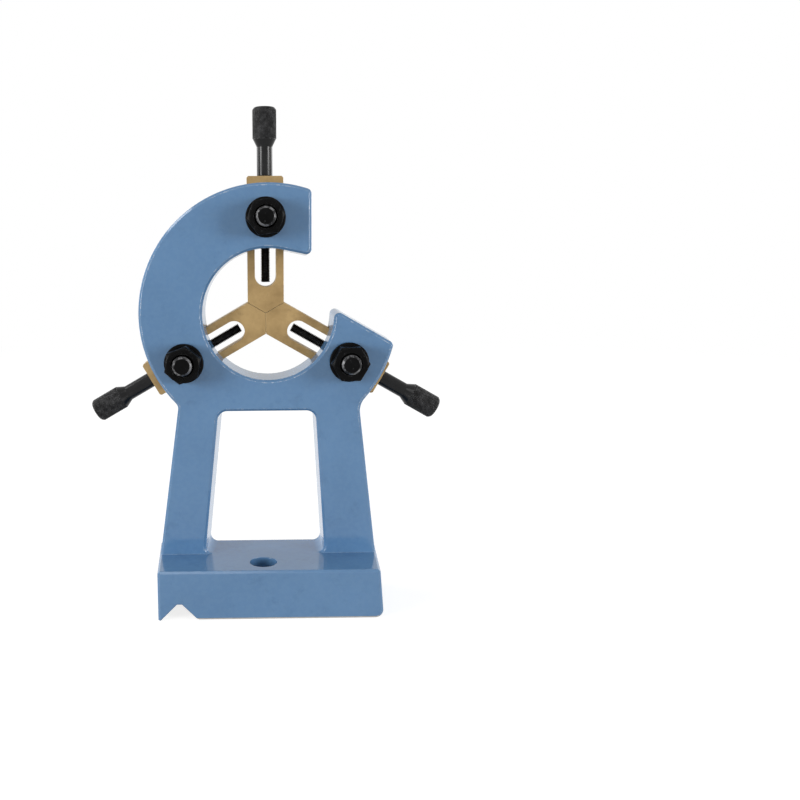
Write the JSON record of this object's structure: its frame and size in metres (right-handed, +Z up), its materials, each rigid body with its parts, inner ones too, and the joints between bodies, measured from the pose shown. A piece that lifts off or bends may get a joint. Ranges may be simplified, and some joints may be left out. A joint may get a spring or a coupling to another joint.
{
  "type": "steady rest",
  "caption": "Steady rest for a bench lathe: an open cast ring on two legs carries sliding bronze jaws, each set by a knurled screw and locked by a nut.",
  "frame": {"origin": "axis of the bed clamp hole, in the plane of the underside", "axes": "+Z up, +Y along the lathe bed away from the nut side, +X towards the open mouth of the ring"},
  "size_m": [0.1112, 0.0368, 0.1524],
  "materials": {
    "blue_paint": "gloss",
    "bronze": "satin",
    "black_screw": "satin",
    "black_fastener": "gloss",
    "spring_steel": "satin"
  },
  "bodies": {
    "frame": {"frame_casting": "blue_paint", "clamp_bolt_top": "black_fastener", "clamp_bolt_left": "black_fastener", "clamp_bolt_right": "black_fastener", "back_washer_top": "black_fastener", "back_washer_left": "black_fastener", "back_washer_right": "black_fastener"},
    "top_jaw": {"jaw_top": "bronze"},
    "top_screw": {"adjusting_screw_top": "black_screw", "retaining_clip_top": "spring_steel"},
    "top_washer": {"front_washer_top": "black_fastener"},
    "top_nut": {"clamp_nut_top": "black_fastener"},
    "left_jaw": {"jaw_left": "bronze"},
    "left_screw": {"adjusting_screw_left": "black_screw", "retaining_clip_left": "spring_steel"},
    "left_washer": {"front_washer_left": "black_fastener"},
    "left_nut": {"clamp_nut_left": "black_fastener"},
    "right_jaw": {"jaw_right": "bronze"},
    "right_screw": {"adjusting_screw_right": "black_screw", "retaining_clip_right": "spring_steel"},
    "right_washer": {"front_washer_right": "black_fastener"},
    "right_nut": {"clamp_nut_right": "black_fastener"}
  },
  "joints": [
    {"name": "top_jaw_slide", "type": "slide", "parent": "frame", "child": "top_jaw", "axis": [0, 0, 1], "range_m": [0, 0.017]},
    {"name": "top_screw_spin", "type": "hinge", "parent": "top_jaw", "child": "top_screw", "pos_m": [0.0015, 0.0195, 0.14], "axis": [0, 0, 1], "range_deg": [0, 12240]},
    {"name": "top_washer_slide", "type": "slide", "parent": "frame", "child": "top_washer", "axis": [0, -1, 0], "range_m": [0, 0.001]},
    {"name": "top_nut_turn", "type": "hinge", "parent": "top_washer", "child": "top_nut", "pos_m": [0.0015, 0.0059, 0.119], "axis": [0, -1, 0], "range_deg": [0, 360]},
    {"name": "left_jaw_slide", "type": "slide", "parent": "frame", "child": "left_jaw", "axis": [-0.866, 0, -0.5], "range_m": [0, 0.017]},
    {"name": "left_screw_spin", "type": "hinge", "parent": "left_jaw", "child": "left_screw", "pos_m": [-0.0418, 0.0195, 0.065], "axis": [-0.866, 0, -0.5], "range_deg": [0, 12240]},
    {"name": "left_washer_slide", "type": "slide", "parent": "frame", "child": "left_washer", "axis": [0, -1, 0], "range_m": [0, 0.001]},
    {"name": "left_nut_turn", "type": "hinge", "parent": "left_washer", "child": "left_nut", "pos_m": [-0.02362, 0.0059, 0.0755], "axis": [0, -1, 0], "range_deg": [0, 360]},
    {"name": "right_jaw_slide", "type": "slide", "parent": "frame", "child": "right_jaw", "axis": [0.866, 0, -0.5], "range_m": [0, 0.017]},
    {"name": "right_screw_spin", "type": "hinge", "parent": "right_jaw", "child": "right_screw", "pos_m": [0.0448, 0.0195, 0.065], "axis": [0.866, 0, -0.5], "range_deg": [0, 12240]},
    {"name": "right_washer_slide", "type": "slide", "parent": "frame", "child": "right_washer", "axis": [0, -1, 0], "range_m": [0, 0.001]},
    {"name": "right_nut_turn", "type": "hinge", "parent": "right_washer", "child": "right_nut", "pos_m": [0.02661, 0.0059, 0.0755], "axis": [0, -1, 0], "range_deg": [0, 360]}
  ],
  "couplings": [
    {"joint": "top_screw_spin", "follows": "top_jaw_slide", "rad_per_m": 12566},
    {"joint": "top_nut_turn", "follows": "top_washer_slide", "rad_per_m": 6283.2},
    {"joint": "left_screw_spin", "follows": "left_jaw_slide", "rad_per_m": 12566},
    {"joint": "left_nut_turn", "follows": "left_washer_slide", "rad_per_m": 6283.2},
    {"joint": "right_screw_spin", "follows": "right_jaw_slide", "rad_per_m": 12566},
    {"joint": "right_nut_turn", "follows": "right_washer_slide", "rad_per_m": 6283.2}
  ]
}
